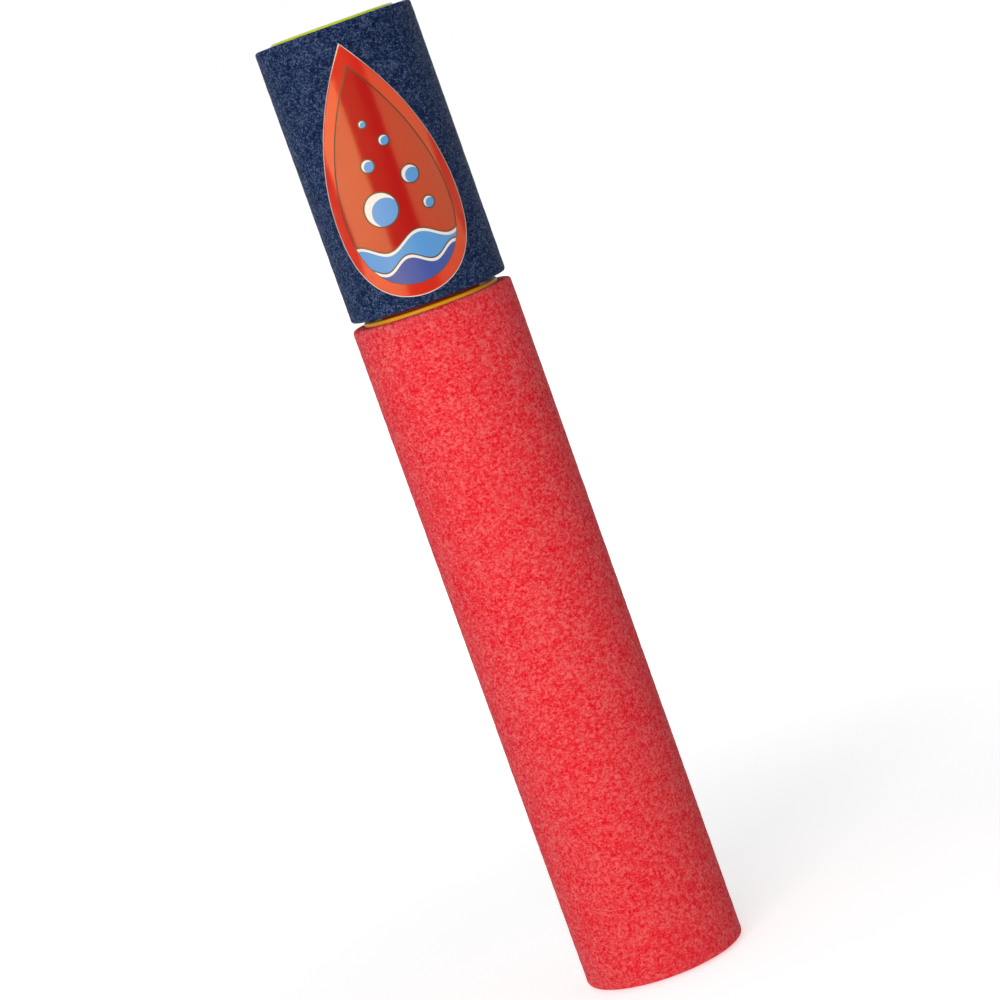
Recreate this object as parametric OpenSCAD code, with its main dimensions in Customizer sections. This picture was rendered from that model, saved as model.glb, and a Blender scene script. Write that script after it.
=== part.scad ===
// Water squirter: a hand pump inside two foam sleeves.
// Pulling the handle draws water in through the nozzle, and pushing it shoots the water out.
// The pump's axis is +Z, and the squirter stands on its nozzle cap at z = 0.

/* [Foam sleeves] */
// Outer diameter of the barrel sleeve
foam_d = 55; // [50:0.5:64]
// Outer diameter of the handle sleeve
handle_d = 53.6; // [50:0.2:64]
// Length of the barrel sleeve
barrel_len = 233; // [200:1:280]
// Length of the handle sleeve
handle_len = 93; // [92:1:130]
// Rounding of the sleeves' cut edges
foam_round = 0.8; // [0.4:0.1:2]

/* [Tubes] */
// Outer diameter of the stock that the pump tube and the handle core are cut from
tube_d = 32; // [30:0.5:36]
// Wall of that stock
tube_wall = 1.5; // [1.2:0.1:2.5]
// Outer diameter of the plunger rod
rod_d = 18; // [14:0.5:20]
// Wall of the plunger rod
rod_wall = 1.8; // [1.2:0.1:2.5]

/* [Caps] */
// Wall of the moulded caps
cap_wall = 1.6; // [1.2:0.1:2]
// Length of the skirts that plug into the tubes
skirt_len = 12; // [10:0.5:16]
// Number of ribs between a skirt and what it surrounds
rib_count = 4; // [2:1:8]
// Thickness of those ribs
rib_t = 1.2; // [0.8:0.1:2]
// Diameter of the end cap's flange
end_flange_d = 42; // [40:0.2:48]
// Thickness of the end cap's flange
end_flange_t = 0.8; // [0.8:0.1:2]
// Diameter of the gate dimple in the middle of the end cap
gate_d = 4; // [2:0.5:8]
// Depth of the gate dimple
gate_depth = 0.4; // [0.2:0.1:0.6]
// Length of the boss on the end cap that plugs into the rod
boss_len = 18; // [12:0.5:30]

/* [Guide cap] */
// Diameter of the guide cap's flange
guide_flange_d = 46; // [42:0.2:48]
// Thickness of the guide cap's flange at its rim
guide_flange_t = 1.2; // [1.2:0.1:2.5]
// Width of the raised rim
rim_w = 1.8; // [1.2:0.1:4]
// Height of the raised rim above the groove inside it
rim_h = 0.6; // [0.2:0.1:0.8]
// Rounding of the rim's upper edge
rim_round = 0.5; // [0.2:0.1:0.6]
// Wall between the air vents and the edge of the washer's seat
seat_wall = 0.6; // [0.4:0.1:1]
// Length of the sleeve that guides the rod, below the flange
guide_len = 24; // [16:0.5:30]
// Diameter of the air vents, one between each two ribs
vent_d = 1.8; // [1:0.1:2]

/* [Stop washer] */
// Width of the soft ring that the handle stops on
washer_w = 3.6; // [2.5:0.1:4.2]
// How far it stands above the guide cap's rim
washer_proud = 0.3; // [0.2:0.1:0.6]

/* [Nozzle cap] */
// Diameter of the nozzle cap's flange, which the squirter stands on
nozzle_flange_d = 44; // [40:0.5:48]
// Thickness of that flange
nozzle_flange_t = 1; // [0.8:0.1:2]
// Depth of the dish around the nozzle
dish_depth = 5; // [4:0.1:6]
// Diameter of the nozzle's bore
jet_d = 5; // [4:0.1:7]
// Wall of the nozzle at its tip
jet_wall = 1.2; // [1:0.1:2]
// Flare of the nozzle's outside from the tip to the web
jet_flare = 1.4; // [0.5:0.1:2.5]
// How far the tip stays back from the standing face
jet_inset = 0.6; // [0.4:0.1:2]
// How far the dish ribs stay back from the standing face
rib_inset = 2; // [1:0.1:3]

/* [Piston] */
// Thickness of the sealing rings' section
ring_d = 3; // [2:0.1:3.5]
// Length of each land beside the ring grooves
land_len = 3; // [2:0.1:5]
// Clearance of the lands in the pump tube
land_gap = 0.3; // [0.2:0.05:0.5]
// Length of the stem that plugs into the rod
stem_len = 18; // [12:0.5:30]
// Axial clearance between the piston and the nozzle cap at rest
piston_gap = 1.2; // [0.8:0.1:3]

/* [Handle plug] */
// Diameter of the plug's flange, sunk into the foam
plug_flange_d = 40; // [36:0.5:44]
// Thickness of that flange
plug_flange_t = 1.5; // [1:0.1:2.5]
// How far it stands proud of the foam
plug_proud = 0.5; // [0.3:0.1:0.8]
// Gap between the plug and the washer at rest
stop_gap = 0.3; // [0.2:0.05:1]

/* [Snaps] */
// Number of snap lugs on a skirt
lug_count = 3; // [2:1:4]
// Number of snap lugs on the piston's stem and the end cap's boss
rod_lug_count = 2; // [2:1:3]
// Width of a snap lug
lug_w = 5; // [3:0.1:6]
// Height of a snap lug
lug_h = 2.5; // [1.5:0.1:3]
// Distance of a lug's middle from the end of the tube that it locks in
lug_pos = 6; // [4:0.1:7]
// How far a lug stays below the outside of the tube
lug_inset = 0.3; // [0.1:0.05:0.6]

/* [Label] */
// Width of the drop-shaped label, along the curve of the handle
label_w = 46; // [30:0.5:60]
// Distance of the label's tip from the top of the handle sleeve
label_top = 6; // [4:0.1:8]
// Distance of the label's round end from the foot of the handle sleeve
label_foot = 3; // [2:0.1:8]
// Thickness of the label
label_t = 0.2; // [0.1:0.05:0.3]

/* [Fits] */
// Radial clearance of a skirt, boss or stem in its tube, and of the washer round its seat
press_gap = 0.05; // [0.02:0.01:0.1]
// Radial clearance of the rod in the guide cap
guide_gap = 0.1; // [0.06:0.01:0.1]
// Radial clearance of the sealing rings in the pump tube
seal_gap = 0.08; // [0.05:0.01:0.1]
// Clearance of the sealing rings in their grooves
groove_gap = 0.15; // [0.1:0.05:0.3]
// Clearance of a snap lug in its window
lug_gap = 0.2; // [0.1:0.05:0.4]
// Radial clearance of the foam on the tubes and round the plug
foam_gap = 0.1; // [0.05:0.05:0.3]
// Glue line between the label and the foam
glue_gap = 0.03; // [0.02:0.01:0.05]

/* [Hidden] */
$fn = 96;

// Overshoot that lets a cut run clean through a face
over = 0.5;
// How far a moulded wall reaches into the wall or flange that it stands on
root = 0.4;

// Radii
foam_r = foam_d / 2;
handle_r = handle_d / 2;
tube_r = tube_d / 2;
bore_r = tube_r - tube_wall;
rod_r = rod_d / 2;
rod_bore_r = rod_r - rod_wall;
skirt_r = bore_r - press_gap;
skirt_in_r = skirt_r - cap_wall;
stem_r = rod_bore_r - press_gap;
stem_in_r = stem_r - cap_wall;
jet_r = jet_d / 2;
jet_tip_r = jet_r + jet_wall;
jet_root_r = jet_tip_r + jet_flare;
ring_r = bore_r - seal_gap - ring_d / 2;
groove_r = ring_r - ring_d / 2 - groove_gap;
groove_w = ring_d + 2 * groove_gap;
land_r = bore_r - land_gap;
nose_r = skirt_in_r - land_gap;
rod_hole_r = rod_r + guide_gap;
vent_ring_r = (rod_hole_r + cap_wall + skirt_in_r) / 2;
seat_r = vent_ring_r + vent_d / 2 + seat_wall;
washer_r = seat_r + press_gap + washer_w;

// Levels along the axis, from the nozzle up
barrel_z0 = nozzle_flange_t;
barrel_z1 = barrel_z0 + barrel_len;
web_z1 = dish_depth + cap_wall;
nozzle_skirt_z1 = barrel_z0 + skirt_len;
piston_z0 = web_z1 + piston_gap;
land_z0 = nozzle_skirt_z1 + piston_gap;
groove_front_z0 = land_z0 + land_len;
groove_rear_z0 = groove_front_z0 + groove_w + land_len;
piston_z1 = groove_rear_z0 + groove_w + land_len;
guide_z1 = barrel_z1 + guide_flange_t;
washer_z0 = guide_z1 - rim_h;
washer_z1 = guide_z1 + washer_proud;
plug_z0 = washer_z1 + stop_gap;
plug_z1 = plug_z0 + plug_flange_t;
handle_z0 = plug_z0 + plug_proud;
handle_z1 = handle_z0 + handle_len;
label_h = handle_len - label_top - label_foot;
label_mid_z = handle_z0 + label_foot + label_h / 2;

// Colours
foam_red = [0.93, 0.27, 0.28];
foam_navy = [0.17, 0.22, 0.35];
cap_yellow = [0.91, 0.64, 0.03];
cap_lime = [0.77, 0.85, 0.14];
natural_white = [0.92, 0.92, 0.90];
rubber_black = [0.10, 0.10, 0.11];
rubber_red = [0.93, 0.24, 0.05];
label_red = [0.94, 0.20, 0.11];

// A tube between two levels
module pipe(outer_r, inner_r, z0, z1) {
    translate([0, 0, z0])
    difference() {
        cylinder(r = outer_r, h = z1 - z0);
        translate([0, 0, -over])
        cylinder(r = inner_r, h = z1 - z0 + 2 * over);
    }
}

// Copies of the children, evenly spaced around the axis
module around(count, start = 0) {
    for (i = [0:count - 1])
        rotate(start + i * 360 / count)
        children();
}

// A radial wall between two radii and two levels
module rib(r0, r1, z0, z1) {
    translate([r0, -rib_t / 2, z0])
    cube([r1 - r0, rib_t, z1 - z0]);
}

// Lugs on a round wall that end at lug_r, centred on a level
module snap_lugs(wall_r, lug_r, z, count) {
    intersection() {
        pipe(lug_r, wall_r - root, z - lug_h / 2, z + lug_h / 2);
        around(count)
        translate([0, -lug_w / 2, z - lug_h])
        cube([lug_r + over, lug_w, 2 * lug_h]);
    }
}

// The openings that those lugs snap into, as wide again as the clearance
module snap_windows(outer_r, wall, z, count) {
    around(count)
    translate([outer_r - wall - over, -lug_w / 2 - lug_gap, z - lug_h / 2 - lug_gap])
    cube([wall + 2 * over, lug_w + 2 * lug_gap, lug_h + 2 * lug_gap]);
}

// Tube with snap windows near both ends
module windowed_tube(outer_r, wall, z0, z1, count) {
    difference() {
        pipe(outer_r, outer_r - wall, z0, z1);
        snap_windows(outer_r, wall, z0 + lug_pos, count);
        snap_windows(outer_r, wall, z1 - lug_pos, count);
    }
}

// Foam sleeve with rounded outer edges
module foam_sleeve(outer_r, inner_r, z0, z1) {
    rotate_extrude()
    union() {
        translate([inner_r, z0])
        square([outer_r - foam_round - inner_r, z1 - z0]);
        translate([inner_r, z0 + foam_round])
        square([outer_r - inner_r, z1 - z0 - 2 * foam_round]);
        for (z = [z0 + foam_round, z1 - foam_round])
            translate([outer_r - foam_round, z])
            circle(r = foam_round);
    }
}

// Half section of a disc from z = 0 up, with a quarter-round upper edge
module domed_profile(disc_r, thickness) {
    intersection() {
        square([disc_r, thickness]);
        union() {
            square([disc_r - thickness, thickness]);
            translate([disc_r - thickness, 0])
            circle(r = thickness);
        }
    }
}

module domed_disc(disc_r, thickness) {
    rotate_extrude()
    domed_profile(disc_r, thickness);
}

// Skirt with snap lugs that hangs from the flange above z = 0 into a tube
module snap_skirt() {
    pipe(skirt_r, skirt_in_r, -skirt_len, root);
    snap_lugs(skirt_r, tube_r - lug_inset, -lug_pos, lug_count);
}

// Snap skirt with a sleeve for the rod inside it and ribs between the two
module ribbed_skirt(sleeve_r, sleeve_len) {
    sleeve_out_r = sleeve_r + cap_wall;
    snap_skirt();
    pipe(sleeve_out_r, sleeve_r, -sleeve_len, root);
    around(rib_count)
    rib(sleeve_out_r - root, skirt_in_r + root, -skirt_len, root);
}

// Hollow spigot with snap lugs that hangs from the flange above z = 0 into the rod
module snap_spigot(len) {
    pipe(stem_r, stem_in_r, -len, root);
    snap_lugs(stem_r, rod_r - lug_inset, -lug_pos, rod_lug_count);
}

module barrel_foam() {
    color(foam_red)
    foam_sleeve(foam_r, tube_r + foam_gap, barrel_z0, barrel_z1);
}

module barrel_tube() {
    color(natural_white)
    windowed_tube(tube_r, tube_wall, barrel_z0, barrel_z1, lug_count);
}

// Half section of the front cap: flange, skirt, web and flared jet
module nozzle_profile() {
    difference() {
        union() {
            translate([0, nozzle_flange_t])
            mirror([0, 1])
            domed_profile(nozzle_flange_d / 2, nozzle_flange_t);
            square([skirt_r, nozzle_skirt_z1]);
        }
        square([skirt_in_r, dish_depth]);
        translate([0, web_z1])
        square([skirt_in_r, nozzle_skirt_z1]);
        square([jet_r, web_z1]);
    }
    polygon([
        [jet_r, jet_inset],
        [jet_tip_r, jet_inset],
        [jet_root_r, dish_depth],
        [jet_root_r, web_z1],
        [jet_r, web_z1]
    ]);
}

// Front cap: the round body, its snap lugs, and ribs between the jet and the skirt
module nozzle_cap() {
    color(cap_yellow)
    union() {
        rotate_extrude()
        nozzle_profile();
        snap_lugs(skirt_r, tube_r - lug_inset, barrel_z0 + lug_pos, lug_count);
        around(rib_count, 180 / rib_count)
        rib(jet_tip_r - root, skirt_in_r + root, rib_inset, dish_depth + root);
    }
}

// Plate of the guide cap from z = 0 up: a floor, a low seat in its middle, and a rim with a rounded upper edge
module guide_plate() {
    rim_r = guide_flange_d / 2;
    rotate_extrude()
    union() {
        square([rim_r - rim_w / 2, guide_flange_t - rim_h]);
        square([seat_r, guide_flange_t]);
        translate([rim_r - rim_w, 0])
        square([rim_w - rim_round, guide_flange_t]);
        translate([rim_r - rim_w, 0])
        square([rim_w, guide_flange_t - rim_round]);
        translate([rim_r - rim_round, guide_flange_t - rim_round])
        circle(r = rim_round);
    }
}

// Rear cap of the pump: rimmed plate, skirt, guide sleeve for the rod and air vents
module guide_cap() {
    hole_h = guide_flange_t + 2 * over;
    color(cap_yellow)
    difference() {
        translate([0, 0, barrel_z1])
        union() {
            guide_plate();
            ribbed_skirt(rod_hole_r, guide_len);
        }
        translate([0, 0, barrel_z1 - over])
        cylinder(r = rod_hole_r, h = hole_h);
        around(rib_count, 180 / rib_count)
        translate([vent_ring_r, 0, barrel_z1 - over])
        cylinder(d = vent_d, h = hole_h);
    }
}

// Soft ring round the guide cap's seat
module stop_washer() {
    color(rubber_red)
    pipe(washer_r, seat_r + press_gap, washer_z0, washer_z1);
}

module piston_ring(groove_z0) {
    color(rubber_black)
    translate([0, 0, groove_z0 + groove_w / 2])
    rotate_extrude()
    translate([ring_r, 0])
    circle(d = ring_d);
}

module piston_ring_front() {
    piston_ring(groove_front_z0);
}

module piston_ring_rear() {
    piston_ring(groove_rear_z0);
}

// Piston: a nose that enters the nozzle cap's skirt, three lands, two grooves and a hollow stem
module piston_body() {
    color(natural_white)
    union() {
        rotate_extrude()
        polygon([
            [0, piston_z0],
            [nose_r, piston_z0],
            [nose_r, land_z0],
            [land_r, land_z0],
            [land_r, groove_front_z0],
            [groove_r, groove_front_z0],
            [groove_r, groove_front_z0 + groove_w],
            [land_r, groove_front_z0 + groove_w],
            [land_r, groove_rear_z0],
            [groove_r, groove_rear_z0],
            [groove_r, groove_rear_z0 + groove_w],
            [land_r, groove_rear_z0 + groove_w],
            [land_r, piston_z1],
            [stem_in_r, piston_z1],
            [stem_in_r, piston_z0 + cap_wall],
            [0, piston_z0 + cap_wall]
        ]);
        translate([0, 0, piston_z1])
        mirror([0, 0, 1])
        snap_spigot(stem_len);
    }
}

module rod_tube() {
    color(natural_white)
    windowed_tube(rod_r, rod_wall, piston_z1, handle_z1, rod_lug_count);
}

// Front plug of the handle: holds the rod in the middle of the core and meets the washer
module handle_plug() {
    plug_hole_r = rod_r + press_gap;
    color(cap_yellow)
    translate([0, 0, plug_z1])
    mirror([0, 0, 1])
    difference() {
        union() {
            domed_disc(plug_flange_d / 2, plug_flange_t);
            ribbed_skirt(plug_hole_r, skirt_len);
        }
        translate([0, 0, -over])
        cylinder(r = plug_hole_r, h = plug_flange_t + 2 * over);
    }
}

module handle_core() {
    color(natural_white)
    windowed_tube(tube_r, tube_wall, plug_z1, handle_z1, lug_count);
}

// Handle sleeve, with a shallow seat for the plug's flange
module handle_foam() {
    color(foam_navy)
    difference() {
        foam_sleeve(handle_r, tube_r + foam_gap, handle_z0, handle_z1);
        translate([0, 0, handle_z0 - over])
        cylinder(r = plug_flange_d / 2 + foam_gap, h = plug_z1 - handle_z0 + over);
    }
}

// Rear cap of the handle: domed flange, skirt into the core and hollow boss into the rod
module end_cap() {
    color(cap_lime)
    translate([0, 0, handle_z1])
    difference() {
        union() {
            domed_disc(end_flange_d / 2, end_flange_t);
            snap_skirt();
            snap_spigot(boss_len);
        }
        translate([0, 0, end_flange_t - gate_depth])
        cylinder(d = gate_d, h = gate_depth + over);
    }
}

// Outline of the label, flat: a drop with its tip at the top and its round end below
label_steps = 60;
drop_peak = 4 / (3 * sqrt(3));
function drop_x(t) = label_w / 2 * sin(t) * sin(t / 2) / drop_peak;
function drop_z(t) = label_h / 2 * cos(t);
// Place across the handle of a point at a distance along its curve
function wrapped(x) = handle_r * sin(x / handle_r * 180 / PI);

// Label: the outline laid around the front of the handle sleeve
module label() {
    outline = [
        for (i = [0:label_steps - 1])
        let (t = i * 360 / label_steps)
        [wrapped(drop_x(t)), drop_z(t)]
    ];
    color(label_red)
    intersection() {
        pipe(
            handle_r + glue_gap + label_t, handle_r + glue_gap,
            label_mid_z - label_h, label_mid_z + label_h
        );
        translate([0, 0, label_mid_z])
        rotate([90, 0, 0])
        linear_extrude(height = handle_d)
        polygon(outline);
    }
}

barrel_foam();
barrel_tube();
nozzle_cap();
guide_cap();
stop_washer();
piston_ring_front();
piston_ring_rear();
piston_body();
rod_tube();
handle_plug();
handle_core();
handle_foam();
end_cap();
label();
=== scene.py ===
"""Foam water squirter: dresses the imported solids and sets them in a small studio, as an add-on."""

import math

import bpy
import numpy as np
from bpy.props import FloatProperty, FloatVectorProperty, PointerProperty
from mathutils import Matrix, Vector, noise


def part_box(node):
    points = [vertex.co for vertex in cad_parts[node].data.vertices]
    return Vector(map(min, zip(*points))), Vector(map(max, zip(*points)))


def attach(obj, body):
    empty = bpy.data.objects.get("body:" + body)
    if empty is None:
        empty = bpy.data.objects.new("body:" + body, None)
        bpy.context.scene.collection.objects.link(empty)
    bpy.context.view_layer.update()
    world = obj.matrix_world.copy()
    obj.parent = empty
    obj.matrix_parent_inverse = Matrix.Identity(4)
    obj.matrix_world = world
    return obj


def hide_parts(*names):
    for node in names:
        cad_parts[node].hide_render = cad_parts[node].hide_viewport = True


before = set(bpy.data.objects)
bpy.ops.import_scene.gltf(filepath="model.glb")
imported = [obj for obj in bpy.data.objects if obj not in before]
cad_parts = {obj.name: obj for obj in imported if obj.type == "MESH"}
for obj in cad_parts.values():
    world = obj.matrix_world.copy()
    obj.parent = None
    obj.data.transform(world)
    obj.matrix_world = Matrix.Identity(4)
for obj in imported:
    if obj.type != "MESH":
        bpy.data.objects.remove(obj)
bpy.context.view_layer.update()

bl_info = {
    "name": "Foam Water Squirter",
    "version": (1, 0, 0),
    "blender": (4, 5, 0),
    "location": "3D View > Sidebar > Squirter",
    "description": "Foam sleeves, film label and moulded finishes for a pump squirter, with its studio",
    "category": "Object",
}

MM = 0.001
WHITE = (1.0, 1.0, 1.0, 1.0)
BLACK = (0.0, 0.0, 0.0, 1.0)

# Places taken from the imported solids
BARREL_LOW, BARREL_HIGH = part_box("barrel_foam")
HANDLE_LOW, HANDLE_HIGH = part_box("handle_foam")
LABEL_LOW, LABEL_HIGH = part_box("label")
CORE_FOOT_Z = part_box("handle_core")[0].z
# Gap between a sleeve and the tube or plug inside it
FIT = 0.1 * MM
BORE_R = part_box("barrel_tube")[1].x + FIT
SEAT_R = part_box("handle_plug")[1].x + FIT
# Thickness of the label's film, and of the glue under it
FILM = 0.2 * MM
GLUE = 0.03 * MM


def srgb(red, green, blue):
    """The linear colour of a screen colour given in steps from 0 to 255."""
    parts = [c / 255 for c in (red, green, blue)]
    return tuple(c / 12.92 if c <= 0.04045 else ((c + 0.055) / 1.055) ** 2.4 for c in parts) + (1.0,)


def length(name, description, default):
    """A size property, in metres."""
    return FloatProperty(name=name, description=description, default=default, unit="LENGTH", precision=5)


def tilt(name, description, degrees):
    """An angle property, given in degrees."""
    default = math.radians(degrees)
    return FloatProperty(name=name, description=description, default=default, subtype="ANGLE")


def lamp_power(name, description, watts):
    """A property for the power of a lamp."""
    return FloatProperty(name=name, description=description, default=watts, min=0, unit="POWER")


def colour(name, description, default):
    """A colour property."""
    return FloatVectorProperty(
        name=name, description=description, default=default, size=4, subtype="COLOR", min=0, max=1
    )


class FoamSettings(bpy.types.PropertyGroup):
    """Sizes and colours of the two foam sleeves."""

    mesh_step: length("Mesh Step", "Distance between the points of a sleeve's skin", 0.7 * MM)
    edge_round: length("Edge Rounding", "Radius of a sleeve's cut edges", 1.1 * MM)
    lump_size: length("Lump Size", "Size of the soft lumps in the skin", 4.5 * MM)
    lump_depth: length("Lump Depth", "Depth of the hollows between the lumps", 0.20 * MM)
    cell_size: length("Cell Size", "Size of the larger foam cells", 2.2 * MM)
    cell_depth: length("Cell Depth", "Depth of the dents between the cells", 0.10 * MM)
    # The glint colours are partly the foam's own pale flecks and partly painted glints of the lamps on
    # the cell skins
    barrel_light: colour("Barrel Skin", "Cell skins of the barrel sleeve", srgb(242, 70, 78))
    barrel_deep: colour("Barrel Pits", "Pits between the cells of the barrel sleeve", srgb(232, 10, 41))
    barrel_glint: colour("Barrel Glints", "Taut cell skins of the barrel sleeve", srgb(249, 114, 110))
    handle_light: colour("Handle Skin", "Cell skins of the handle sleeve", srgb(29, 50, 89))
    handle_deep: colour("Handle Pits", "Pits between the cells of the handle sleeve", srgb(6, 20, 52))
    handle_glint: colour("Handle Glints", "Taut cell skins of the handle sleeve", srgb(90, 103, 133))


class LabelSettings(bpy.types.PropertyGroup):
    """Sizes and colours of the film label."""

    thickness: length("Thickness", "Thickness of the film", FILM)
    ripple: length("Ripple", "Height of the ripples where the film lies on soft foam", 0.05 * MM)
    cut_edge: length("Cut Edge", "Width of the white edge left by the die", 0.25 * MM)
    band: length("Band", "Width of the band inside the white edge", 4.2 * MM)
    line: length("Line", "Width of the printed lines", 0.45 * MM)
    crest: length("Crest", "Width of the white crest on a wave", 1.2 * MM)
    white: colour("White", "White ink", srgb(240, 232, 222))
    field: colour("Field", "Deep red lacquer in the middle", srgb(184, 8, 20))
    border: colour("Border", "Orange-red lacquer of the band", srgb(214, 34, 26))
    gloss: colour("Gloss", "Golden gloss of the foil", (1.0, 0.6, 0.2, 1.0))
    ink: colour("Ink", "Dark line ink", srgb(58, 40, 38))
    wave_back: colour("Back Wave", "Wave behind", srgb(70, 150, 214))
    wave_front: colour("Front Wave", "Wave in front", srgb(24, 74, 158))


class PlasticSettings(bpy.types.PropertyGroup):
    """Colours of the mouldings, tubes and rings."""

    yellow: colour("Yellow", "Guide cap, nozzle cap and handle plug", srgb(232, 164, 6))
    lime: colour("Lime", "End cap", srgb(210, 225, 44))
    natural: colour("Natural", "Tubes and piston", srgb(232, 232, 226))
    rubber: colour("Rubber", "Sealing rings", srgb(26, 26, 28))
    washer: colour("Washer", "Soft washer that the handle stops on", srgb(238, 60, 12))


class StageSettings(bpy.types.PropertyGroup):
    """Camera, lamps and floor."""

    distance: length("Distance", "Distance of the camera from the pump's axis", 1.1362)
    height: length("Height", "Height of the camera above the floor", 0.3161)
    aside: length("Aside", "How far the camera stands to the right of the pump's axis", -0.5 * MM)
    pitch: tilt("Pitch", "How far the camera looks down", 7.56)
    roll: tilt("Roll", "How far the camera is turned about its view", 19.70)
    lens: FloatProperty(name="Lens", description="Focal length", default=125.24, unit="CAMERA")
    main_power: lamp_power("Main", "Softbox above the camera", 9.9)
    left_power: lamp_power("Left", "Strip lamp at the front left", 3.3)
    right_power: lamp_power("Right", "Strip lamp at the front right", 1.8)
    top_power: lamp_power("Top", "Softbox overhead", 2.4)
    table_power: lamp_power("Table", "Softbox under the table", 1.2)
    ambient: FloatProperty(name="Ambient", description="Level of the studio's own light", default=0.15)
    floor: colour("Floor", "Floor of the studio", srgb(236, 236, 236))


class Shade:
    """A number in a node tree. Arithmetic on it adds Math nodes."""

    def __init__(self, nodes, socket):
        self.nodes = nodes
        self.socket = socket

    def math(self, operation, *others):
        return self.nodes.math(operation, self, *others)

    def __add__(self, other):
        return self.nodes.math("ADD", self, other)

    def __sub__(self, other):
        return self.nodes.math("SUBTRACT", self, other)

    def __rsub__(self, other):
        return self.nodes.math("SUBTRACT", other, self)

    def __mul__(self, other):
        return self.nodes.math("MULTIPLY", self, other)

    def __truediv__(self, other):
        return self.nodes.math("DIVIDE", self, other)

    def __rtruediv__(self, other):
        return self.nodes.math("DIVIDE", other, self)

    def __neg__(self):
        return self.nodes.math("MULTIPLY", self, -1.0)

    def __abs__(self):
        return self.nodes.math("ABSOLUTE", self)

    __radd__ = __add__
    __rmul__ = __mul__


class Nodes:
    """Adds nodes to a shader or geometry tree."""

    def __init__(self, tree):
        self.tree = tree

    def add(self, kind, settings=None, inputs=None):
        """A new node: its settings first, then the values or links of its sockets, by name or number."""
        node = self.tree.nodes.new(kind)
        for key, value in (settings or {}).items():
            if key == "stops":
                self._stops(node.color_ramp, value)
            else:
                setattr(node, key, value)
        for key, value in (inputs or {}).items():
            source = value.socket if isinstance(value, Shade) else value
            if isinstance(source, bpy.types.NodeSocket):
                self.tree.links.new(source, node.inputs[key])
            else:
                node.inputs[key].default_value = source
        return node

    @staticmethod
    def _stops(ramp, stops):
        while len(ramp.elements) < len(stops):
            ramp.elements.new(1.0)
        for element, (position, value) in zip(ramp.elements, stops):
            element.position = position
            element.color = value

    def value(self, kind, settings=None, inputs=None, output=0):
        """The number that a new node gives."""
        return Shade(self, self.add(kind, settings, inputs).outputs[output])

    def math(self, operation, *values):
        return self.value("ShaderNodeMath", {"operation": operation}, dict(enumerate(values)))

    def vector(self, operation, *values):
        """The vector that a Vector Math node gives."""
        node = self.add("ShaderNodeVectorMath", {"operation": operation}, dict(enumerate(values)))
        return node.outputs[0]

    def apart(self, first, second):
        """The distance between two points."""
        node = self.add("ShaderNodeVectorMath", {"operation": "DISTANCE"}, {0: first, 1: second})
        return Shade(self, node.outputs["Value"])

    def axes(self, place):
        """The three parts of a vector, as numbers."""
        parts = self.add("ShaderNodeSeparateXYZ", None, {0: place}).outputs
        return [Shade(self, part) for part in parts]

    def ease(self, value, low, high):
        """0 below low, 1 above high, and smooth between."""
        return self.value(
            "ShaderNodeMapRange",
            {"interpolation_type": "SMOOTHSTEP"},
            {"Value": value, "From Min": low, "From Max": high},
        )

    def mix(self, factor, first, second):
        """The colour between two colours."""
        node = self.add("ShaderNodeMix", {"data_type": "RGBA"}, {0: factor, 6: first, 7: second})
        return node.outputs[2]

    def grain(self, place, size, detail=2.0, roughness=0.5, distortion=0.0):
        """Noise with features of about one size, around 0.5."""
        inputs = {
            "Vector": place,
            "Scale": 1.0 / size,
            "Detail": detail,
            "Roughness": roughness,
            "Distortion": distortion,
        }
        return self.value("ShaderNodeTexNoise", {"noise_dimensions": "3D"}, inputs)

    def cells(self, place, size):
        """Distance from the middle of the nearest cell, in cell sizes."""
        inputs = {"Vector": place, "Scale": 1.0 / size}
        return self.value("ShaderNodeTexVoronoi", {"feature": "F1"}, inputs, "Distance")


class Finish(Nodes):
    """A material with one Principled shader."""

    def __init__(self, name, constants):
        self.material = bpy.data.materials.new(name)
        self.material.use_nodes = True
        super().__init__(self.material.node_tree)
        self.shader = self.tree.nodes["Principled BSDF"]
        for key, value in constants.items():
            self.shader.inputs[key].default_value = value

    def place(self):
        """Object coordinates, in metres."""
        return self.add("ShaderNodeTexCoord").outputs["Object"]

    def attribute(self, name):
        """A number that the points of the mesh carry."""
        return self.value("ShaderNodeAttribute", {"attribute_name": name}, None, "Fac")

    def feed(self, socket, value):
        """Links a number or a colour to a socket of the shader."""
        source = value.socket if isinstance(value, Shade) else value
        self.tree.links.new(source, self.shader.inputs[socket])

    def bump(self, height, depth):
        """Raises the surface where height is 1, by depth in metres."""
        node = self.add("ShaderNodeBump", None, {"Strength": 1.0, "Distance": depth, "Height": height})
        self.feed("Normal", node.outputs[0])


def link(name, data):
    """A new object of the scene for a mesh, a lamp or a camera."""
    made = bpy.data.objects.new(name, data)
    bpy.context.scene.collection.objects.link(made)
    return made


def mark(mesh, name, values):
    """Stores a number on each point of a mesh."""
    stored = mesh.attributes.new(name, "FLOAT", "POINT")
    stored.data.foreach_set("value", values.astype(np.float32))


def run(start, end, step):
    """Points from start up to just before end, about a step apart."""
    count = max(1, round(math.dist(start, end) / step))
    return [tuple(s + (e - s) * i / count for s, e in zip(start, end)) for i in range(count)]


# Faces round a sleeve's cut edge
EDGE_STEPS = 3
# Share of the relief on a sleeve's cut ends, and the plain ring kept round its seat
END_RELIEF = 0.25
SEAT_MARGIN = 0.5 * MM


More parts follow.
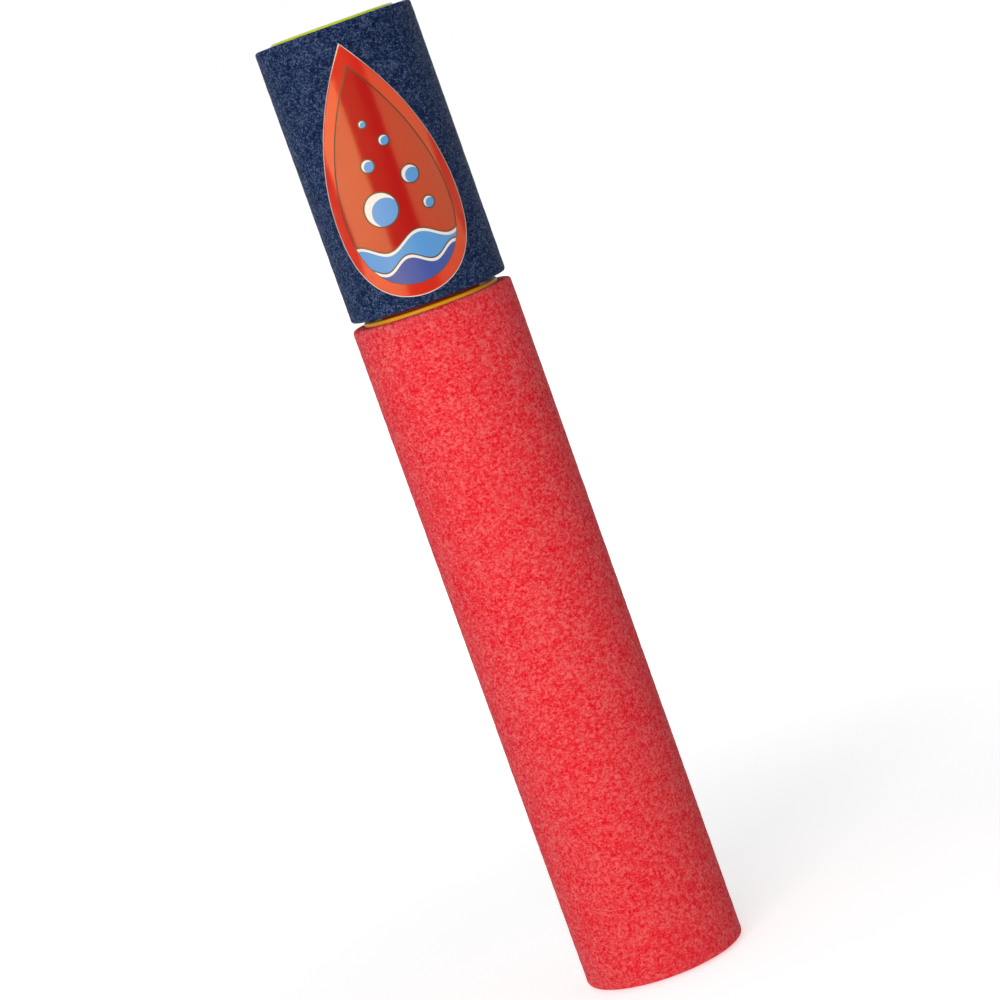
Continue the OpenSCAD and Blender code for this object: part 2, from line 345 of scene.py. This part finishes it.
def sleeve_profile(low, high, foam, seat):
    """Closed half section of a sleeve, from the bore's foot outwards, with a seat in its lower end."""
    step, edge = foam.mesh_step, foam.edge_round
    outer, low_z, high_z = high.x, low.z, high.z
    inner = outer - edge
    foot_r, seat_z = seat
    turns = [math.pi / 2 * i / EDGE_STEPS for i in range(EDGE_STEPS)]
    points = []
    if seat_z != low_z:
        points += run((BORE_R, seat_z), (foot_r, seat_z), step) + [(foot_r, seat_z)]
    points += run((foot_r, low_z), (inner, low_z), step)
    points += [(inner + edge * math.sin(a), low_z + edge - edge * math.cos(a)) for a in turns]
    points += run((outer, low_z + edge), (outer, high_z - edge), step)
    points += [(inner + edge * math.cos(a), high_z - edge + edge * math.sin(a)) for a in turns]
    points += run((inner, high_z), (BORE_R, high_z), step) + [(BORE_R, high_z)]
    return points


def lathe(name, points, segments):
    """Mesh of a closed half section turned about the axis."""
    section = np.array(points)
    angles = np.linspace(0, 2 * math.pi, segments, endpoint=False)
    count = len(section)
    ring = np.stack([np.sin(angles), -np.cos(angles)], 1)
    flat = ring[:, None, :] * section[None, :, :1]
    up = np.broadcast_to(section[None, :, 1:], (segments, count, 1))
    places = np.concatenate([flat, up], 2).reshape(-1, 3)
    this = np.arange(segments)[:, None] * count
    after = np.roll(this, -1, 0)
    here = np.arange(count)[None, :]
    above = np.roll(here, -1, 1)
    faces = np.stack([this + here, after + here, after + above, this + above], 2).reshape(-1, 4)
    mesh = bpy.data.meshes.new(name)
    mesh.from_pydata(places.tolist(), [], faces.tolist())
    return mesh


def mark_sleeve(mesh, outer, edge):
    """Marks how much relief each point of a sleeve takes, and which points lie on its cut ends."""
    places = np.empty(len(mesh.vertices) * 3, np.float32)
    mesh.vertices.foreach_get("co", places)
    places = places.reshape(-1, 3)
    radius = np.hypot(places[:, 0], places[:, 1])
    skin = np.clip((radius - outer + edge) / edge, 0, 1)
    ends = np.where(radius > SEAT_R + SEAT_MARGIN, END_RELIEF, 0.0)
    mark(mesh, "relief", np.maximum(skin, ends))
    mark(mesh, "cut", 1 - skin)


def foam_relief_tree(names):
    """Geometry Nodes tree with inputs of these names, which dents a sleeve between lumps and cells."""
    tree = bpy.data.node_groups.new("Foam relief", "GeometryNodeTree")
    tree.interface.new_socket("Geometry", in_out="INPUT", socket_type="NodeSocketGeometry")
    for name in names:
        tree.interface.new_socket(name, in_out="INPUT", socket_type="NodeSocketFloat")
    tree.interface.new_socket("Material", in_out="INPUT", socket_type="NodeSocketMaterial")
    tree.interface.new_socket("Geometry", in_out="OUTPUT", socket_type="NodeSocketGeometry")
    nodes = Nodes(tree)
    given = nodes.add("NodeGroupInput").outputs
    size = {name: Shade(nodes, given[name]) for name in names}
    place = nodes.add("GeometryNodeInputPosition").outputs[0]
    normal = nodes.add("GeometryNodeInputNormal").outputs[0]
    relief = nodes.value("GeometryNodeInputNamedAttribute", {"data_type": "FLOAT"}, {"Name": "relief"})
    lumps = nodes.grain(place, size["Lump Size"], 1.0)
    cells = nodes.cells(place, size["Cell Size"])
    depth = (lumps * size["Lump Depth"] + cells * size["Cell Depth"]) * relief
    offset = nodes.add("ShaderNodeVectorMath", {"operation": "SCALE"}, {0: normal, "Scale": -depth})
    moved = {"Geometry": given["Geometry"], "Offset": offset.outputs[0]}
    dented = nodes.add("GeometryNodeSetPosition", None, moved)
    smooth = nodes.add("GeometryNodeSetShadeSmooth", None, {"Geometry": dented.outputs[0]})
    whole = nodes.add("GeometryNodeRealizeInstances", None, {"Geometry": smooth.outputs[0]})
    finished = {"Geometry": whole.outputs[0], "Material": given["Material"]}
    painted = nodes.add("GeometryNodeSetMaterial", None, finished)
    nodes.add("NodeGroupOutput", None, {"Geometry": painted.outputs[0]})
    return tree


def run_tree(made, tree, values):
    """Puts an object through a Geometry Nodes tree and keeps the result as its plain mesh."""
    modifier = made.modifiers.new(tree.name, "NODES")
    modifier.node_group = tree
    for socket in tree.interface.items_tree:
        if socket.in_out == "INPUT" and socket.name in values:
            modifier[socket.identifier] = values[socket.name]
    made.update_tag()
    bpy.context.view_layer.update()
    evaluated = made.evaluated_get(bpy.context.evaluated_depsgraph_get())
    baked = bpy.data.meshes.new_from_object(evaluated)
    baked.name = made.name
    made.modifiers.clear()
    made.data = baked


# Size in millimetres and share of each layer of mottling: blotches, patches, flecks and fine grain
MOTTLING = ((6.0, 0.2), (2.2, 0.4), (1.2, 0.7), (0.72, 0.85))
MEAN_TONE = 0.49
# Where the pits, the skins and the glints, which are partly painted highlights, lie in the range of
# tones
TONE_STOPS = (0.26, 0.5, 0.74)
# How much shorter the grain and the creases are along the axis than across it
GRAIN_SQUASH = (1.0, 1.0, 1.25)
CREASE_SQUASH = (1.0, 1.0, 2.0)
CREASE_SIZE = 2.2
CREASE_NARROWNESS = 12.0
CREASE_SHARE = 0.14
# Size of the open cells on a cut end
CUT_CELL = 1.5 * MM
FOAM_SHEEN = 0.05
# How far light spreads in the foam
GLOW_REACH = 11.0 * MM


def foam_finish(name, tones, glow, scale):
    """Extruded foam that light sinks into: waxy cell skins, darker pits, pale flecks that are partly
    painted glints, and open cells on cut ends, which are painted lighter against the shade they sit in.
    """
    unit = scale * MM
    finish = Finish(name, {
        "Specular IOR Level": FOAM_SHEEN,
        "Subsurface Weight": 1.0,
        "Subsurface Radius": glow,
        "Subsurface Scale": GLOW_REACH,
    })
    place = finish.place()
    across = finish.vector("MULTIPLY", place, GRAIN_SQUASH)
    layers = [finish.grain(across, size * unit, 1.0) for size, _ in MOTTLING]
    skin = MEAN_TONE
    for layer, (_, share) in zip(layers, MOTTLING):
        skin = skin + (layer - 0.5) * share
    creased = finish.vector("MULTIPLY", place, CREASE_SQUASH)
    wander = finish.grain(creased, CREASE_SIZE * unit, 2.0, 0.5, 1.2)
    crease = (1 - abs(wander - 0.5) * CREASE_NARROWNESS).math("MAXIMUM", 0.0)
    cell = finish.cells(place, CUT_CELL)
    cut = finish.attribute("cut")
    # Open cells on the cut ends, plus a painted lift that makes the cut ends lighter overall against the
    # shade under the handle
    opened_and_lifted = (0.18 - finish.ease(cell, 0.25, 0.6) * 0.2) * cut
    tone = skin + (crease - 0.3) * CREASE_SHARE + opened_and_lifted
    stops = tuple(zip(TONE_STOPS, tones))
    finish.feed("Base Color", finish.add("ShaderNodeValToRGB", {"stops": stops}, {0: tone}).outputs[0])
    finish.feed("Roughness", 0.8 - tone * 0.3)
    fleck, fine = layers[2:]
    finish.bump(fleck * 0.5 + fine * 0.4 + crease * 0.3 + (1 - cell) * cut * 0.6, 0.10 * unit)
    return finish.material


class SQUIRTER_OT_foam_sleeves(bpy.types.Operator):
    """Makes the barrel sleeve and the handle sleeve of extruded foam"""

    bl_idname = "squirter.foam_sleeves"
    bl_label = "Foam Sleeves"

    def execute(self, context):
        foam = context.scene.squirter_foam
        sizes = {
            "Lump Size": foam.lump_size,
            "Lump Depth": foam.lump_depth,
            "Cell Size": foam.cell_size,
            "Cell Depth": foam.cell_depth,
        }
        tree = foam_relief_tree(sizes)
        red_tones = (foam.barrel_deep, foam.barrel_light, foam.barrel_glint)
        navy_tones = (foam.handle_deep, foam.handle_light, foam.handle_glint)
        red = foam_finish("Red foam", red_tones, glow=(1.0, 0.12, 0.16), scale=1.0)
        navy = foam_finish("Navy foam", navy_tones, glow=(0.1, 0.15, 0.3), scale=0.72)
        barrel = (BARREL_LOW, BARREL_HIGH, (BORE_R, BARREL_LOW.z))
        handle = (HANDLE_LOW, HANDLE_HIGH, (SEAT_R, CORE_FOOT_Z))
        for name, node, body, slot, material, (low, high, seat) in (
            ("barrel_sleeve", "barrel_foam", "barrel", "foam_red", red, barrel),
            ("handle_sleeve", "handle_foam", "plunger", "foam_navy", navy, handle),
        ):
            segments = int(2 * math.pi * high.x / foam.mesh_step)
            made = link(name, lathe(name, sleeve_profile(low, high, foam, seat), segments))
            mark_sleeve(made.data, high.x, foam.edge_round)
            run_tree(made, tree, {**sizes, "Material": material})
            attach(made, body)
            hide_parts(node)
        return {"FINISHED"}


# Greatest value of sin(t) sin(t / 2), which sets the drop's width
DROP_PEAK = 4 / (3 * math.sqrt(3))
LABEL_R = HANDLE_HIGH.x + GLUE
LABEL_HALF_W = LABEL_R * math.asin(LABEL_HIGH.x / (LABEL_R + FILM))
LABEL_H = LABEL_HIGH.z - LABEL_LOW.z
LABEL_MID_Z = (LABEL_HIGH.z + LABEL_LOW.z) / 2
# Points round the film, and rings of them from its middle to its edge
FILM_STEPS = 180
FILM_RINGS = 64
# Ripples for each metre across and up the film, and stretches of its edge that lift
RIPPLES_ACROSS = 130
RIPPLES_UP = 90
LIFTS = 60
LIFT_ROW = 5.0
LIFT_SHARE = 1.6
LIFT_REACH = 1.5 * MM


def drop_outline(count):
    """Points of the label's outline, flat: a drop with its tip at the top."""
    turn = np.linspace(0, 2 * math.pi, count, endpoint=False)
    across = LABEL_HALF_W * np.sin(turn) * np.sin(turn / 2) / DROP_PEAK
    return np.stack([across, LABEL_H / 2 * np.cos(turn)], 1)


def film_rise(label, flat, edge):
    """How far the film stands off the foam: soft ripples, and an edge that lifts in places."""
    ripple = np.array([noise.noise(Vector((x * RIPPLES_ACROSS, 0.0, z * RIPPLES_UP))) for x, z in flat])
    lift = np.array([noise.noise(Vector((x * LIFTS, LIFT_ROW, z * LIFTS))) for x, z in flat])
    lifted = np.exp(-edge / LIFT_REACH) * (lift > 0.1)
    return label.ripple * (0.5 + 0.5 * ripple) + LIFT_SHARE * label.ripple * lifted


def film_faces(count):
    """Faces of the film's front, its back and its cut edge, for a number of points on each side."""
    faces = []
    for i in range(FILM_STEPS):
        j = (i + 1) % FILM_STEPS
        faces.append((0, 1 + i, 1 + j))
        faces.append((count, count + 1 + j, count + 1 + i))
        for k in range(FILM_RINGS - 1):
            a, b = 1 + k * FILM_STEPS, 1 + (k + 1) * FILM_STEPS
            faces.append((a + i, b + i, b + j, a + j))
            faces.append((count + a + i, count + a + j, count + b + j, count + b + i))
        rim = 1 + (FILM_RINGS - 1) * FILM_STEPS
        faces.append((rim + i, count + rim + i, count + rim + j, rim + j))
    return faces


def label_mesh(name, label):
    """The film on the handle's curve: rings of points from its middle to its edge, front and back."""
    outline = drop_outline(FILM_STEPS)
    middle = np.array([0.0, -LABEL_H / 6])
    shares = np.linspace(0, 1, FILM_RINGS + 1)[1:]
    rings = middle + (outline - middle) * shares[:, None, None]
    flat = np.concatenate([middle[None], rings.reshape(-1, 2)])
    edge = np.linalg.norm(flat[:, None, :] - outline[None], axis=2).min(1)
    rise = film_rise(label, flat, edge)
    turn = flat[:, 0] / LABEL_R
    up = flat[:, 1] + LABEL_MID_Z

    def wrapped(radius):
        return np.stack([radius * np.sin(turn), -radius * np.cos(turn), up], 1)

    places = np.concatenate([wrapped(LABEL_R + label.thickness + rise), wrapped(LABEL_R + rise)])
    mesh = bpy.data.meshes.new(name)
    mesh.from_pydata(places.tolist(), [], film_faces(len(flat)))
    mark(mesh, "edge", np.tile(edge, 2))
    chart = np.tile(flat / [2 * LABEL_HALF_W, LABEL_H] + 0.5, (2, 1))
    corners = np.zeros(len(mesh.loops), np.int32)
    mesh.loops.foreach_get("vertex_index", corners)
    mesh.uv_layers.new(name="film").data.foreach_set("uv", chart[corners].astype(np.float32).ravel())
    mesh.shade_smooth()
    return mesh


# Middle and radius of each printed bubble, in millimetres from the middle of the label
BUBBLES = (
    (-5.0, -12.0, 5.6),
    (7.6, -4.2, 3.0),
    (-4.4, 2.4, 2.2),
    (3.2, 8.6, 1.8),
    (10.4, -14.6, 2.0),
    (-1.6, 15.4, 1.3),
)
# Shift and size of the dark part of a bubble, in shares of its radius
BUBBLE_SHIFT = 0.25
BUBBLE_DARK = 0.85
# Level, height, length and phase of each printed wave, in millimetres
WAVES = ((-23.5, 2.2, 21.0, 0.5), (-30.0, 1.8, 16.0, 2.3))
# Blur of the print, in millimetres
PRINT_BLUR = 0.08


def label_finish(label):
    """Printed film: red lacquer with a golden gloss, a white cut edge, a line, waves and bubbles."""
    finish = Finish("Foil label", {
        "Coat Roughness": 0.08,
        "Specular IOR Level": 0.85,
        "Specular Tint": label.gloss,
    })
    chart = finish.add("ShaderNodeUVMap", {"uv_map": "film"}).outputs[0]
    centred = finish.vector("SUBTRACT", chart, (0.5, 0.5, 0.0))
    flat = finish.vector("MULTIPLY", centred, (2 * LABEL_HALF_W / MM, LABEL_H / MM, 0.0))
    across, up, _ = finish.axes(flat)
    edge = finish.attribute("edge") / MM
    band, line, crest = label.band / MM, label.line / MM, label.crest / MM

    def inside(distance):
        return finish.ease(distance, -PRINT_BLUR, PRINT_BLUR)

    def stroke(distance, width):
        return 1 - finish.ease(abs(distance), width / 2 - PRINT_BLUR, width / 2 + PRINT_BLUR)

    place = finish.place()
    mottle = finish.grain(place, 5.0 * MM, 2.0)
    field = inside(edge - band)
    opaque = stroke(edge - band, line)
    printed = finish.mix(field, label.border, label.field)
    printed = finish.mix(opaque, printed, label.ink)
    for (level, height, span, phase), body in zip(WAVES, (label.wave_back, label.wave_front)):
        surface = level + height * (across * (2 * math.pi / span) + phase).math("SINE")
        below = surface - up
        water = inside(below) * field
        foam = stroke(below - crest / 2, crest) * field
        rule = stroke(below, line) * field
        printed = finish.mix(water, printed, body)
        printed = finish.mix(foam, printed, label.white)
        printed = finish.mix(rule, printed, label.ink)
        opaque = opaque.math("MAXIMUM", water).math("MAXIMUM", rule)
    for x, y, radius in BUBBLES:
        shift = radius * BUBBLE_SHIFT
        away = finish.apart(flat, (x, y, 0.0))
        dark = finish.apart(flat, (x + shift, y - shift, 0.0))
        disc = inside(radius - away)
        rule = stroke(radius - away, line)
        printed = finish.mix(disc, printed, label.wave_back)
        printed = finish.mix(disc * inside(dark - radius * BUBBLE_DARK), printed, label.white)
        printed = finish.mix(rule, printed, label.ink)
        opaque = opaque.math("MAXIMUM", disc).math("MAXIMUM", rule)
    cut = 1 - inside(edge - label.cut_edge / MM)
    printed = finish.mix(cut, printed, label.white)
    opaque = opaque.math("MAXIMUM", cut)
    finish.feed("Base Color", printed)
    finish.feed("Roughness", 0.18 + opaque * 0.2 + (mottle - 0.5) * 0.06)
    finish.feed("Coat Weight", 0.04 + (mottle - 0.5) * 0.06)
    telegraph = finish.grain(place, 1.6 * MM, 2.0)
    finish.bump(telegraph * 0.4 + mottle * 0.6, 0.02 * MM)
    return finish.material


class SQUIRTER_OT_label(bpy.types.Operator):
    """Makes the die-cut film label on the front of the handle"""

    bl_idname = "squirter.label"
    bl_label = "Film Label"

    def execute(self, context):
        label = context.scene.squirter_label
        made = link("handle_label", label_mesh("handle_label", label))
        made.data.materials.append(label_finish(label))
        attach(made, "plunger")
        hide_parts("label")
        return {"FINISHED"}


def paint(node, material):
    """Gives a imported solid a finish."""
    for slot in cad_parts[node].material_slots:
        slot.material = material


def shaded(tint, share):
    """A colour at a share of its brightness."""
    return tuple(c * share for c in tint[:3]) + (1.0,)


# Distance between the turned rings of a mould
MOULD_RING = 0.5 * MM


def moulded_finish(name, tint):
    """Glossy injection moulding: faint flow marks, turned mould rings and fine scuffs."""
    finish = Finish(name, {"Coat Roughness": 0.1, "Specular IOR Level": 0.17})
    place = finish.place()
    x, y, _ = finish.axes(place)
    radius = (x * x + y * y).math("SQRT")
    flow = finish.grain(place, 9.0 * MM, 3.0)
    scuff = finish.grain(place, 0.7 * MM, 3.0, 0.7)
    rings = (radius * (2 * math.pi / MOULD_RING) + flow * 3.0).math("SINE")
    pale = tuple(min(1.0, c * 1.04 + 0.005) for c in tint[:3]) + (1.0,)
    dark = shaded(tint, 0.93)
    finish.feed("Base Color", finish.mix(finish.ease(flow, 0.2, 0.8), dark, pale))
    finish.feed("Roughness", 0.2 + scuff * 0.14 + flow * 0.06)
    finish.feed("Coat Weight", 0.03 + flow * 0.08)
    finish.bump(rings * 0.2 + scuff * 0.5, 0.02 * MM)
    return finish.material


def drawn_finish(name, tint):
    """Extruded tube: satin, with faint lines drawn along it and a few haze marks."""
    finish = Finish(name, {"IOR": 1.5})
    place = finish.place()
    drawn = finish.vector("MULTIPLY", place, (1.0, 1.0, 0.03))
    lines = finish.grain(drawn, 0.6 * MM, 3.0, 0.6)
    haze = finish.grain(place, 12.0 * MM, 3.0)
    dark = shaded(tint, 0.86)
    finish.feed("Base Color", finish.mix(lines * 0.6 + haze * 0.4, dark, tint))
    finish.feed("Roughness", 0.32 + lines * 0.12 + haze * 0.1)
    finish.bump(lines, 0.03 * MM)
    return finish.material


def rubber_finish(name, tint):
    """Moulded rubber: matt, with a bloom of dust."""
    finish = Finish(name, {"IOR": 1.5})
    place = finish.place()
    bloom = finish.grain(place, 2.5 * MM, 3.0)
    pale = tuple(c + (0.5 - c) * 0.05 for c in tint[:3]) + (1.0,)
    finish.feed("Base Color", finish.mix(finish.ease(bloom, 0.4, 0.75), tint, pale))
    finish.feed("Roughness", 0.5 + bloom * 0.25)
    finish.bump(finish.grain(place, 0.4 * MM, 2.0), 0.02 * MM)
    return finish.material


class SQUIRTER_OT_mouldings(bpy.types.Operator):
    """Finishes the moulded caps, the plug and the piston"""

    bl_idname = "squirter.mouldings"
    bl_label = "Mouldings"

    def execute(self, context):
        plastic = context.scene.squirter_plastic
        yellow = moulded_finish("Yellow moulding", plastic.yellow)
        lime = moulded_finish("Lime moulding", plastic.lime)
        natural = moulded_finish("Natural moulding", plastic.natural)
        for node, material in (
            ("guide_cap", yellow),
            ("nozzle_cap", yellow),
            ("handle_plug", yellow),
            ("end_cap", lime),
            ("piston_body", natural),
        ):
            paint(node, material)
        return {"FINISHED"}


class SQUIRTER_OT_tubes(bpy.types.Operator):
    """Finishes the drawn tubes, the sealing rings and the stop washer"""

    bl_idname = "squirter.tubes"
    bl_label = "Tubes and Rings"

    def execute(self, context):
        plastic = context.scene.squirter_plastic
        natural = drawn_finish("Drawn tube", plastic.natural)
        rubber = rubber_finish("Ring rubber", plastic.rubber)
        for node in ("barrel_tube", "rod_tube", "handle_core"):
            paint(node, natural)
        for node in ("piston_ring_front", "piston_ring_rear"):
            paint(node, rubber)
        paint("stop_washer", rubber_finish("Washer rubber", plastic.washer))
        return {"FINISHED"}


# Name, place, size in metres and power setting of each lamp
LAMPS = (
    ("main_softbox", (-0.34, -1.26, 0.60), (0.9, 0.3), "main_power"),
    ("left_strip", (-0.943, -0.820, 0.25), (1.17, 0.22), "left_power"),
    ("right_strip", (0.958, -0.803, 0.25), (1.38, 0.22), "right_power"),
    ("top_softbox", (0.0, 0.1, 1.3), (0.8, 0.8), "top_power"),
    ("table_light", (0.0, 0.0, -0.9), (0.5, 0.5), "table_power"),
)
# Level of the dim room behind the camera, where white is 1
ROOM_LEVEL = 0.1
FLOOR_REACH = 6.0
FLOOR_Z = -0.2 * MM
# Width of the camera's sensor in millimetres, and the nearest point it shows in metres
SENSOR_WIDTH = 36.0
NEAREST = 0.05


def softbox(name, place, aim, size, power):
    """A rectangular lamp that faces a point."""
    lamp = bpy.data.lights.new(name, "AREA")
    lamp.shape = "RECTANGLE"
    lamp.size, lamp.size_y = size
    lamp.energy = power
    made = link(name, lamp)
    made.location = place
    made.rotation_euler = (Vector(aim) - Vector(place)).to_track_quat("-Z", "Y").to_euler()
    return made


def seen_rays(nodes):
    """Marks the camera's rays, and all that show the background, so also gloss and glass."""
    path = nodes.add("ShaderNodeLightPath").outputs
    names = ("Is Camera Ray", "Is Glossy Ray", "Is Transmission Ray")
    camera, gloss, glass = (Shade(nodes, path[name]) for name in names)
    return camera, camera.math("MAXIMUM", gloss).math("MAXIMUM", glass)


def studio_world(ambient):
    """White where it is seen, with a dim room behind the camera, and an even ambient light."""
    world = bpy.data.worlds.new("Studio")
    world.use_nodes = True
    bpy.context.scene.world = world
    nodes = Nodes(world.node_tree)
    camera, seen = seen_rays(nodes)
    direction = nodes.add("ShaderNodeTexCoord").outputs["Generated"]
    _, ahead, _ = nodes.axes(direction)
    dim = (1 - nodes.ease(ahead, -0.1, 0.4)) * (1 - camera)
    level = nodes.mix(dim, WHITE, shaded(WHITE, ROOM_LEVEL))
    shown = nodes.add("ShaderNodeBackground", None, {"Color": level, "Strength": 1.0})
    light = nodes.add("ShaderNodeBackground", None, {"Color": WHITE, "Strength": ambient})
    both = nodes.add("ShaderNodeMixShader", None, {0: seen, 1: light.outputs[0], 2: shown.outputs[0]})
    output = world.node_tree.nodes["World Output"]
    world.node_tree.links.new(both.outputs[0], output.inputs["Surface"])


def floor_finish(tint):
    """Pale floor that reads as white and takes the shadow, clear from below and to the lamp there."""
    finish = Finish("Studio floor", {
        "Roughness": 0.9,
        "Specular IOR Level": 0.0,
        "Emission Strength": 1.0,
    })
    place = finish.place()
    dust = finish.grain(place, 0.05, 3.0)
    finish.feed("Base Color", finish.mix(dust, tint, shaded(tint, 0.98)))
    away = finish.apart(place, (0.0, 0.0, 0.0))
    _, ahead, _ = finish.axes(place)
    camera, seen = seen_rays(finish)
    room = ROOM_LEVEL + finish.ease(ahead, -0.9, -0.4) * (1 - ROOM_LEVEL)
    shown = camera.math("MAXIMUM", seen * room)
    lift = shown * (0.58 + finish.ease(away, 0.1, 0.7) * 0.42)
    finish.feed("Emission Color", finish.mix(lift, BLACK, WHITE))
    below = finish.value("ShaderNodeNewGeometry", None, None, "Backfacing")
    through = below.math("MAXIMUM", finish.value("ShaderNodeLightPath", None, None, "Is Shadow Ray"))
    clear = finish.add("ShaderNodeBsdfTransparent").outputs[0]
    both = finish.add("ShaderNodeMixShader", None, {0: through, 1: finish.shader.outputs[0], 2: clear})
    finish.tree.links.new(both.outputs[0], finish.tree.nodes["Material Output"].inputs["Surface"])
    return finish.material


def studio_floor(tint):
    """The floor, a little below the object."""
    mesh = bpy.data.meshes.new("studio_floor")
    signs = ((-1, -1), (1, -1), (1, 1), (-1, 1))
    corners = [(x * FLOOR_REACH, y * FLOOR_REACH, FLOOR_Z) for x, y in signs]
    mesh.from_pydata(corners, [], [(0, 1, 2, 3)])
    mesh.materials.append(floor_finish(tint))
    return link("studio_floor", mesh)


def photo_camera(stage):
    """The camera, as the photograph was taken."""
    camera = bpy.data.cameras.new("photo_camera")
    camera.lens = stage.lens
    camera.sensor_width = SENSOR_WIDTH
    camera.clip_start = NEAREST
    made = link("photo_camera", camera)
    stand = Matrix.Translation((stage.aside, -stage.distance, stage.height))
    level = Matrix.Rotation(math.pi / 2 - stage.pitch, 4, "X")
    made.matrix_world = stand @ (level @ Matrix.Rotation(-stage.roll, 4, "Z"))
    return made


class SQUIRTER_OT_stage(bpy.types.Operator):
    """Makes the floor, the lamps, the studio's light and the camera"""

    bl_idname = "squirter.stage"
    bl_label = "Studio"

    def execute(self, context):
        scene = context.scene
        stage = scene.squirter_stage
        scene.view_settings.view_transform = "Standard"
        studio_floor(stage.floor)
        studio_world(stage.ambient)
        aim = (0, 0, HANDLE_HIGH.z / 2)
        for name, place, size, setting in LAMPS:
            softbox(name, place, aim, size, getattr(stage, setting))
        scene.camera = photo_camera(stage)
        return {"FINISHED"}


class SQUIRTER_PT_panel(bpy.types.Panel):
    """Lists the squirter's pieces and its studio"""

    bl_idname = "SQUIRTER_PT_panel"
    bl_label = "Foam Water Squirter"
    bl_space_type = "VIEW_3D"
    bl_region_type = "UI"
    bl_category = "Squirter"

    def draw(self, context):
        for group, operators in PIECES:
            settings = getattr(context.scene, group)
            box = self.layout.box()
            for name in settings.__annotations__:
                box.prop(settings, name)
            for operator in operators:
                box.operator(operator.bl_idname)


GROUPS = {
    "squirter_stage": StageSettings,
    "squirter_foam": FoamSettings,
    "squirter_label": LabelSettings,
    "squirter_plastic": PlasticSettings,
}
PIECES = (
    ("squirter_stage", (SQUIRTER_OT_stage,)),
    ("squirter_foam", (SQUIRTER_OT_foam_sleeves,)),
    ("squirter_label", (SQUIRTER_OT_label,)),
    ("squirter_plastic", (SQUIRTER_OT_mouldings, SQUIRTER_OT_tubes)),
)
OPERATORS = tuple(operator for _, operators in PIECES for operator in operators)


def register():
    for group in GROUPS.values():
        bpy.utils.register_class(group)
    for name, group in GROUPS.items():
        setattr(bpy.types.Scene, name, PointerProperty(type=group))
    for operator in OPERATORS:
        bpy.utils.register_class(operator)
    bpy.utils.register_class(SQUIRTER_PT_panel)


def unregister():
    bpy.utils.unregister_class(SQUIRTER_PT_panel)
    for operator in reversed(OPERATORS):
        bpy.utils.unregister_class(operator)
    for name, group in reversed(GROUPS.items()):
        delattr(bpy.types.Scene, name)
        bpy.utils.unregister_class(group)


def main():
    """Registers the add-on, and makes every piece."""
    register()
    for operator in OPERATORS:
        group, step = operator.bl_idname.split(".")
        getattr(getattr(bpy.ops, group), step)()


if __name__ == "__main__":
    main()
